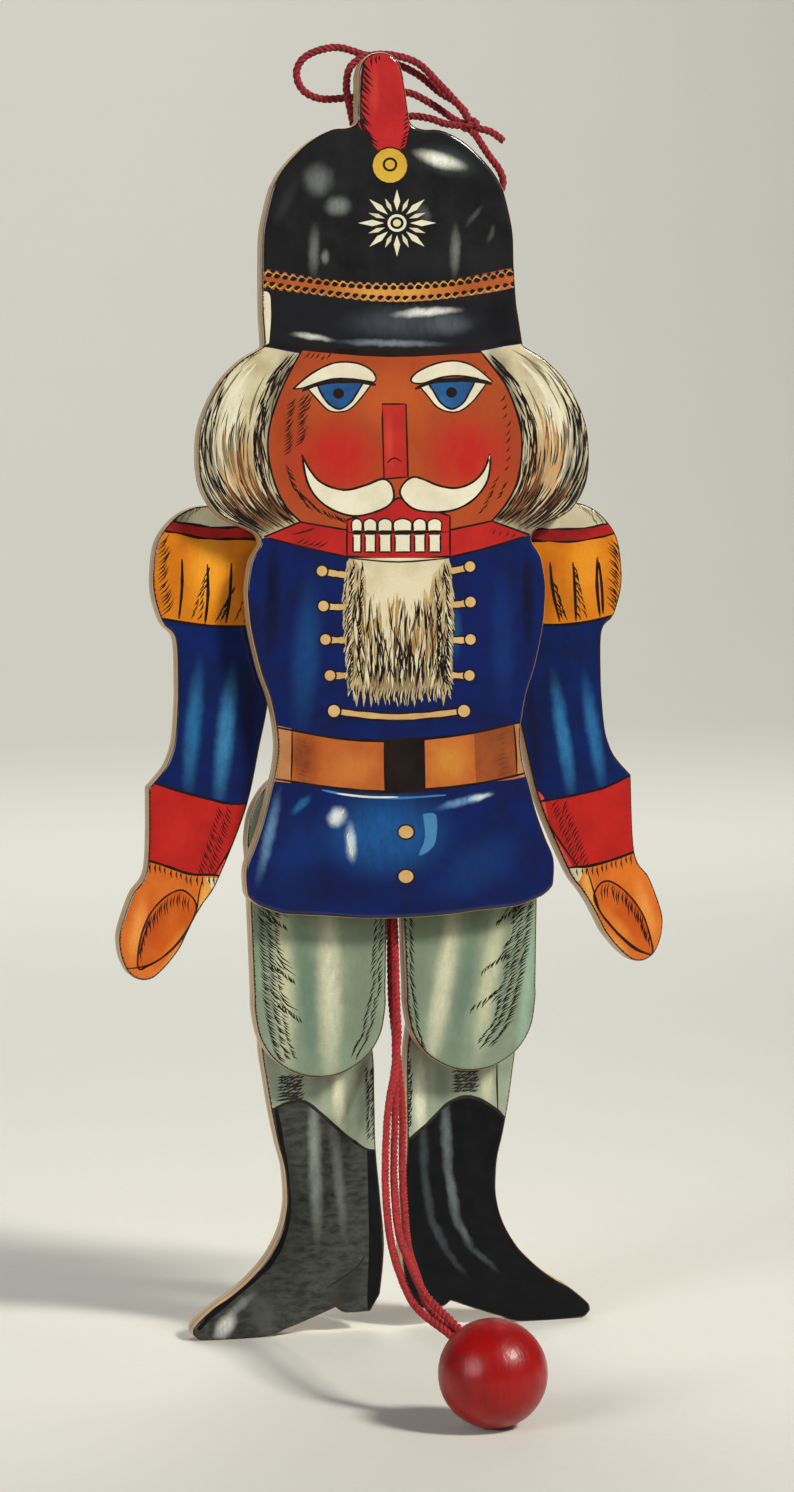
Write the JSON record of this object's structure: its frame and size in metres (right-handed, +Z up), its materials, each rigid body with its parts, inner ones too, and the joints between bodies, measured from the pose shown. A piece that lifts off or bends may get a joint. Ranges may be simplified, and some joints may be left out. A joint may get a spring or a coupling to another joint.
{
  "type": "jumping jack ornament",
  "caption": "Flat lacquered plywood nutcracker soldier made as a jumping jack: arms, thighs and boots turn on pegs behind the body and rise when the corded ball is pulled.",
  "frame": {"origin": "on the flat back of the hat, at the middle of the wire staple that the figure hangs by", "axes": "+Z up to the plume, +Y out of the back of the figure, +X to the viewer's right when the printed front is seen"},
  "size_m": [0.113, 0.1054, 0.2606],
  "materials": {
    "lacquered_body_print": "printed and thickly lacquered plywood",
    "lacquered_arm_print": "printed and thickly lacquered plywood",
    "lacquered_trouser_print": "printed and thickly lacquered plywood",
    "lacquered_boot_print": "printed and thickly lacquered plywood",
    "turned_beech": "plain turned wood",
    "fibre_washer": "pressed brown fibre",
    "brass_tack": "plain brass",
    "steel_wire": "bright wire",
    "red_pull_cord": "twisted red cotton cord",
    "dark_red_hanging_cord": "twisted dark red cotton cord",
    "red_painted_ball": "red satin paint on turned wood"
  },
  "bodies": {
    "figure": {"body_plate": "lacquered_body_print", "hanger_staple": "steel_wire", "left_shoulder_peg": "turned_beech", "right_shoulder_peg": "turned_beech", "left_hip_peg": "turned_beech", "right_hip_peg": "turned_beech", "left_shoulder_washer": "fibre_washer", "right_shoulder_washer": "fibre_washer", "left_hip_washer": "fibre_washer", "right_hip_washer": "fibre_washer", "hanging_eye_cord": "dark_red_hanging_cord", "hanging_loop": "dark_red_hanging_cord", "hanging_short_tail": "dark_red_hanging_cord", "hanging_long_tail": "dark_red_hanging_cord", "hanging_knot": "dark_red_hanging_cord"},
    "left_arm": {"left_arm": "lacquered_arm_print", "left_arm_stud": "brass_tack"},
    "right_arm": {"right_arm": "lacquered_arm_print", "right_arm_stud": "brass_tack"},
    "left_thigh": {"left_thigh": "lacquered_trouser_print", "left_thigh_stud": "brass_tack", "left_knee_peg": "turned_beech", "left_knee_washer": "fibre_washer"},
    "right_thigh": {"right_thigh": "lacquered_trouser_print", "right_thigh_stud": "brass_tack", "right_knee_peg": "turned_beech", "right_knee_washer": "fibre_washer"},
    "left_boot": {"left_boot": "lacquered_boot_print"},
    "right_boot": {"right_boot": "lacquered_boot_print"},
    "pull_line": {"arm_tie_knot": "red_pull_cord", "leg_tie_knot": "red_pull_cord", "arm_link_left": "red_pull_cord", "arm_link_right": "red_pull_cord", "leg_link_left": "red_pull_cord", "leg_link_right": "red_pull_cord", "centre_cord_left": "red_pull_cord", "centre_cord_right": "red_pull_cord", "pull_cord_front": "red_pull_cord", "pull_cord_middle": "red_pull_cord", "pull_cord_back": "red_pull_cord"},
    "pull_ball": {"pull_ball": "red_painted_ball"}
  },
  "joints": [
    {"name": "left_thigh_swing", "type": "hinge", "parent": "figure", "child": "left_thigh", "pos_m": [-0.0157, 0, -0.112], "axis": [0, 1, 0], "range_deg": [0, 60]},
    {"name": "right_thigh_swing", "type": "hinge", "parent": "figure", "child": "right_thigh", "pos_m": [0.0157, 0, -0.112], "axis": [0, -1, 0], "range_deg": [0, 60]},
    {"name": "left_arm_swing", "type": "hinge", "parent": "figure", "child": "left_arm", "pos_m": [-0.023, 0, -0.061], "axis": [0, 1, 0], "range_deg": [0, 90]},
    {"name": "right_arm_swing", "type": "hinge", "parent": "figure", "child": "right_arm", "pos_m": [0.023, 0, -0.061], "axis": [0, -1, 0], "range_deg": [0, 90]},
    {"name": "left_knee_swing", "type": "hinge", "parent": "left_thigh", "child": "left_boot", "pos_m": [-0.0157, 0, -0.1475], "axis": [0, 1, 0], "range_deg": [-1.5, 60]},
    {"name": "right_knee_swing", "type": "hinge", "parent": "right_thigh", "child": "right_boot", "pos_m": [0.0157, 0, -0.1475], "axis": [0, -1, 0], "range_deg": [-1.5, 60]},
    {"name": "cord_pull", "type": "slide", "parent": "figure", "child": "pull_line", "axis": [0, 0, -1], "range_m": [0, 0.01], "deforming": ["arm_link_left", "arm_link_right", "leg_link_left", "leg_link_right"]},
    {"name": "ball_draw", "type": "slide", "parent": "pull_line", "child": "pull_ball", "axis": [0, -0.6247, 0.7809], "range_m": [0, 0.01281], "deforming": ["pull_cord_front", "pull_cord_middle", "pull_cord_back"]}
  ],
  "couplings": [
    {"joint": "right_thigh_swing", "follows": "left_thigh_swing", "ratio": 1},
    {"joint": "left_arm_swing", "follows": "left_thigh_swing", "ratio": 1.5},
    {"joint": "right_arm_swing", "follows": "left_thigh_swing", "ratio": 1.5},
    {"joint": "cord_pull", "follows": "left_thigh_swing", "m_per_rad": 0.009549},
    {"joint": "ball_draw", "follows": "left_thigh_swing", "m_per_rad": 0.012229}
  ]
}
